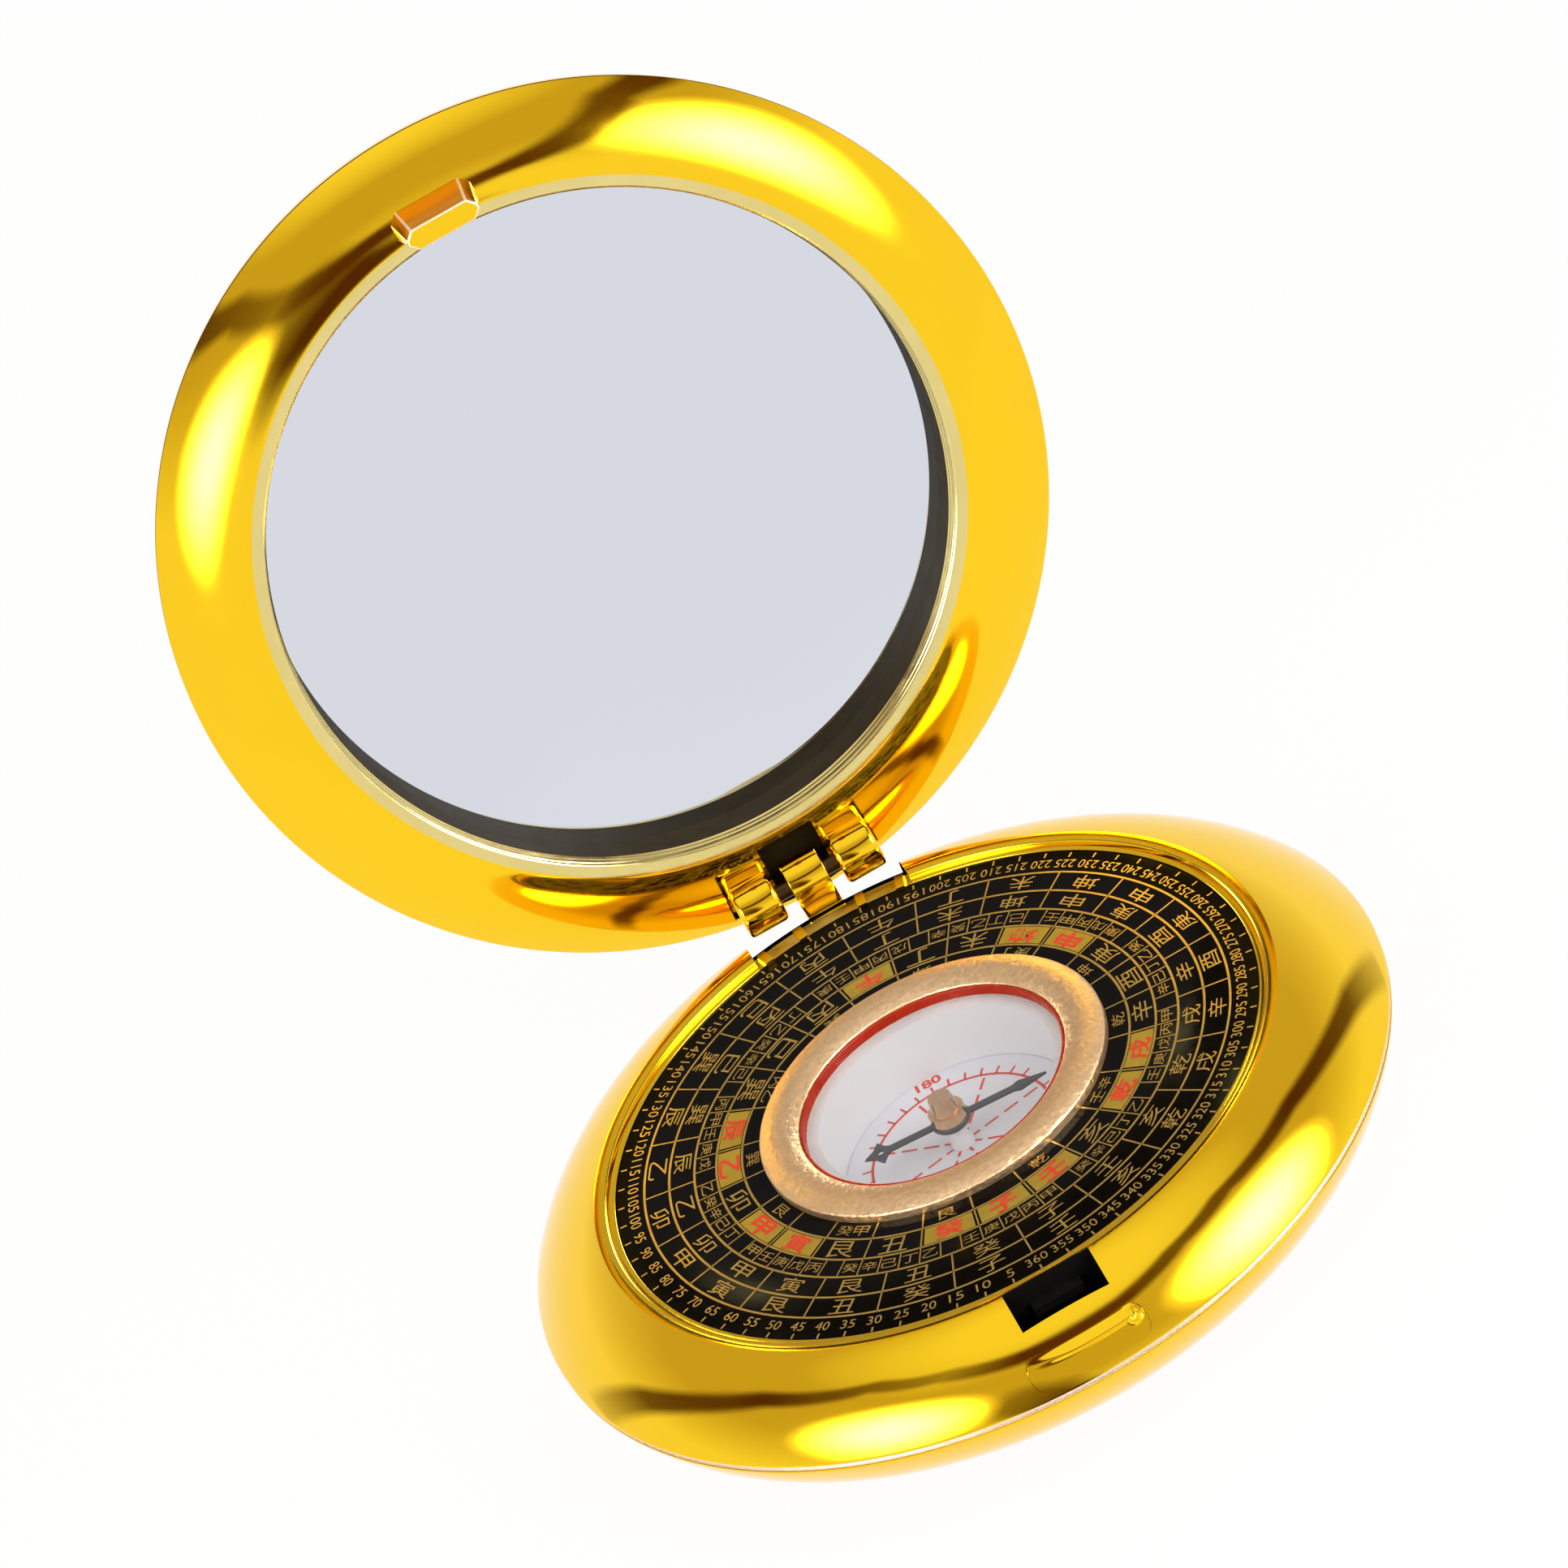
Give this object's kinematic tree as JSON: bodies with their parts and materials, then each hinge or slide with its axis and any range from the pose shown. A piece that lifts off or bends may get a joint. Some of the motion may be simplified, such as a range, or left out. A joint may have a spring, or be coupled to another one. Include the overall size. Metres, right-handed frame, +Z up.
{
  "type": "pocket compass",
  "caption": "Round clamshell pocket compass: a dial with a lensed needle capsule in the base, a mirror in the hinged lid, and a catch released by a button on the front flank",
  "frame": {"origin": "centre of the flat foot of the base", "axes": "+Z up out of the dial, +Y to the hinge at the rear, -Y to the latch at the front, +X along the hinge pin"},
  "size_m": [0.075, 0.0988, 0.083],
  "materials": {
    "gold_shell": "gold metallised gloss",
    "black_plastic": "moulded black",
    "adhesive_pad": "thin adhesive film",
    "dial_black": "gloss black with gold print",
    "white_plastic": "moulded white",
    "white_card": "printed card",
    "red_seal": "soft red",
    "clear_lens": "polished clear",
    "satin_brass": "satin",
    "steel": "ground",
    "needle_black": "blackened steel",
    "jewel": "polished ruby",
    "mirror_face": "silvered glass",
    "soft_pad": "foam"
  },
  "bodies": {
    "base": {"bottom_shell": "gold_shell", "base_bezel": "gold_shell", "seat_ring": "black_plastic", "dial_pad": "adhesive_pad", "dial_plate": "dial_black", "capsule_bowl": "white_plastic", "bowl_card": "white_card", "capsule_gasket": "red_seal", "capsule_lens": "clear_lens", "capsule_ring": "satin_brass", "pivot_post": "white_plastic", "pivot_pin": "steel", "latch_spring": "steel"},
    "lid": {"lid_frame": "gold_shell", "lid_cover": "gold_shell", "mirror_glass": "mirror_face", "mirror_pad": "soft_pad", "latch_lug": "gold_shell", "hinge_pin": "steel"},
    "needle": {"needle_washer": "black_plastic", "needle_blade": "needle_black", "needle_cap": "satin_brass", "cap_jewel": "jewel"},
    "button": {"latch_slider": "black_plastic", "release_button": "gold_shell"}
  },
  "joints": [
    {"name": "lid_hinge", "type": "hinge", "parent": "base", "child": "lid", "pos_m": [0, 0.0349, 0.01358], "axis": [1, 0, 0], "range_deg": [-4, 103.8]},
    {"name": "needle_pivot", "type": "hinge", "parent": "base", "child": "needle", "pos_m": [0, 0, 0.01], "axis": [0, 0, 1], "continuous": true},
    {"name": "button_slide", "type": "slide", "parent": "base", "child": "button", "axis": [0, 1, 0], "range_m": [0, 0.001], "stiffness_N_per_m": 300, "springref_m": -0.002, "deforming": ["latch_spring"]}
  ]
}
